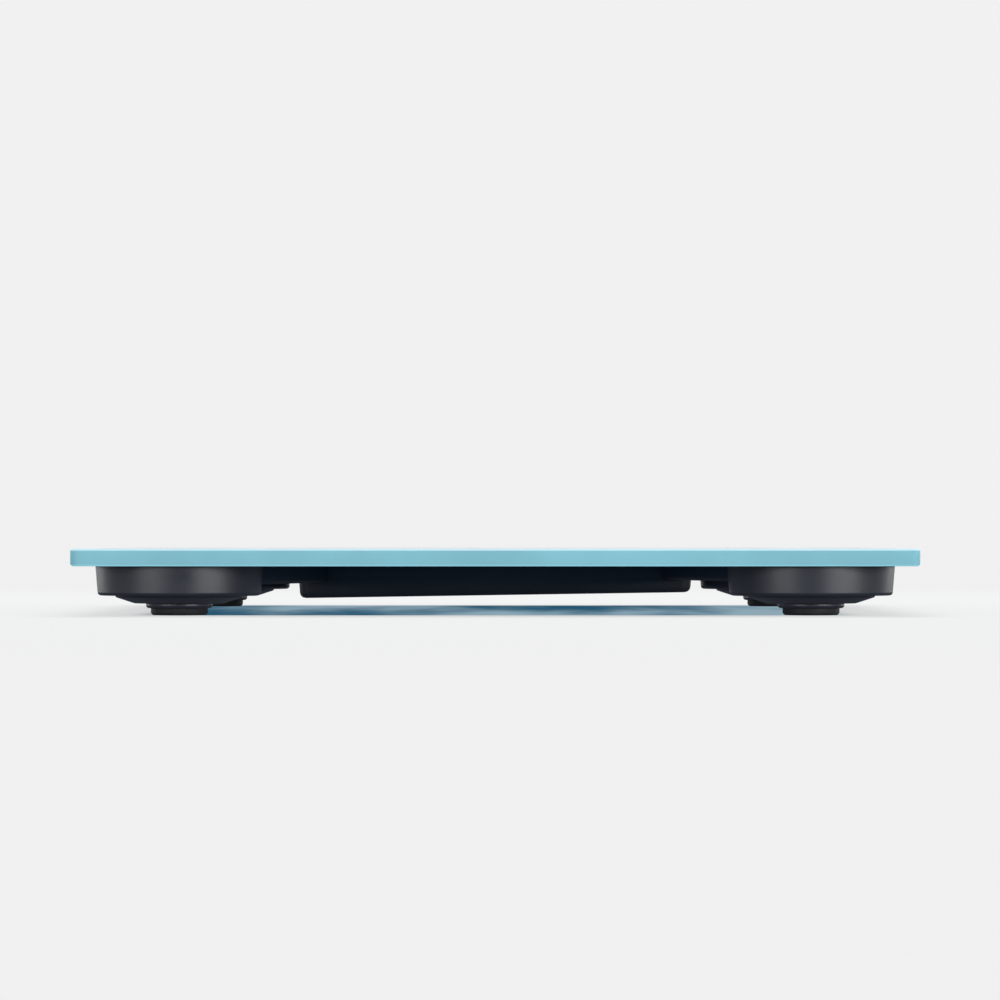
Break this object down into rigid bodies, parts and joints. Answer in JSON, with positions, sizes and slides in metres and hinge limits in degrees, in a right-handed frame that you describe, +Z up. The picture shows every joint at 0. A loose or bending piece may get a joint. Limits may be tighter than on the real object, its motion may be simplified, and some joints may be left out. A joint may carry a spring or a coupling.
{
  "type": "kitchen scale",
  "caption": "Slim square kitchen scale: a blue tempered glass platform on round load-cell feet, with a shallow wedge-shaped electronics box, battery door and unit button underneath.",
  "frame": {"origin": "on the table, under the middle of the glass platform", "axes": "+Z up through the platform, +X to the right, -Y towards the plain edge and +Y towards the edge with the display"},
  "size_m": [0.24, 0.24, 0.0192],
  "materials": {
    "blue_glass": "tempered glass with a blue back print and a polished edge",
    "charcoal_plastic": "satin moulded plastic",
    "black_plastic": "matt moulded plastic",
    "rubber": "soft black rubber",
    "bonding_tape": "black foam bonding tape",
    "cell_steel": "stamped and plated steel",
    "battery_steel": "nickel-plated steel can",
    "spring_steel": "plated steel wire",
    "switch_metal": "plated steel cover",
    "contact_metal": "plated spring strip",
    "board": "green solder mask on glass-fibre board",
    "white_plastic": "white moulded plastic",
    "display_glass": "liquid crystal panel",
    "cable_sleeve": "soft insulation"
  },
  "bodies": {
    "scale_body": {"glass_platform": "blue_glass", "electronics_housing": "black_plastic", "housing_tape": "bonding_tape", "coin_cell": "battery_steel", "contact_positive": "contact_metal", "contact_negative": "contact_metal", "circuit_board": "board", "processor": "black_plastic", "unit_switch": "switch_metal", "touch_spring_left": "spring_steel", "touch_spring_right": "spring_steel", "display_panel": "display_glass", "display_frame": "white_plastic", "display_backlight": "white_plastic", "display_connector": "rubber", "wire_channel_left": "black_plastic", "wire_channel_right": "black_plastic", "wire_bridge_left": "black_plastic", "wire_bridge_right": "black_plastic", "foot_tape_near_left": "bonding_tape", "foot_housing_near_left": "charcoal_plastic", "foot_ring_near_left": "charcoal_plastic", "load_cell_near_left": "cell_steel", "cell_cable_near_left": "cable_sleeve", "board_screw_near_left": "spring_steel", "foot_tape_near_right": "bonding_tape", "foot_housing_near_right": "charcoal_plastic", "foot_ring_near_right": "charcoal_plastic", "load_cell_near_right": "cell_steel", "cell_cable_near_right": "cable_sleeve", "board_screw_near_right": "spring_steel", "foot_tape_far_left": "bonding_tape", "foot_housing_far_left": "charcoal_plastic", "foot_ring_far_left": "charcoal_plastic", "load_cell_far_left": "cell_steel", "cell_cable_far_left": "cable_sleeve", "board_screw_far_left": "spring_steel", "foot_tape_far_right": "bonding_tape", "foot_housing_far_right": "charcoal_plastic", "foot_ring_far_right": "charcoal_plastic", "load_cell_far_right": "cell_steel", "cell_cable_far_right": "cable_sleeve", "board_screw_far_right": "spring_steel"},
    "battery_door": {"battery_door": "black_plastic"},
    "unit_button": {"unit_button": "charcoal_plastic"},
    "foot_near_left": {"foot_disc_near_left": "charcoal_plastic", "foot_pad_near_left": "rubber"},
    "foot_near_right": {"foot_disc_near_right": "charcoal_plastic", "foot_pad_near_right": "rubber"},
    "foot_far_left": {"foot_disc_far_left": "charcoal_plastic", "foot_pad_far_left": "rubber"},
    "foot_far_right": {"foot_disc_far_right": "charcoal_plastic", "foot_pad_far_right": "rubber"}
  },
  "joints": [
    {"name": "foot_press_near_left", "type": "slide", "parent": "scale_body", "child": "foot_near_left", "axis": [0, 0, 1], "range_m": [0, 0.0005], "stiffness_N_per_m": 900},
    {"name": "foot_press_near_right", "type": "slide", "parent": "scale_body", "child": "foot_near_right", "axis": [0, 0, 1], "range_m": [0, 0.0005], "stiffness_N_per_m": 900},
    {"name": "foot_press_far_left", "type": "slide", "parent": "scale_body", "child": "foot_far_left", "axis": [0, 0, 1], "range_m": [0, 0.0005], "stiffness_N_per_m": 900},
    {"name": "foot_press_far_right", "type": "slide", "parent": "scale_body", "child": "foot_far_right", "axis": [0, 0, 1], "range_m": [0, 0.0005], "stiffness_N_per_m": 900},
    {"name": "battery_door_hinge", "type": "hinge", "parent": "scale_body", "child": "battery_door", "pos_m": [-0.0517, 0.045, 0.00356], "axis": [0, 1, 0], "range_deg": [0, 100]},
    {"name": "unit_button_press", "type": "slide", "parent": "scale_body", "child": "unit_button", "axis": [0, 0, 1], "range_m": [0, 0.0005], "stiffness_N_per_m": 2500}
  ]
}
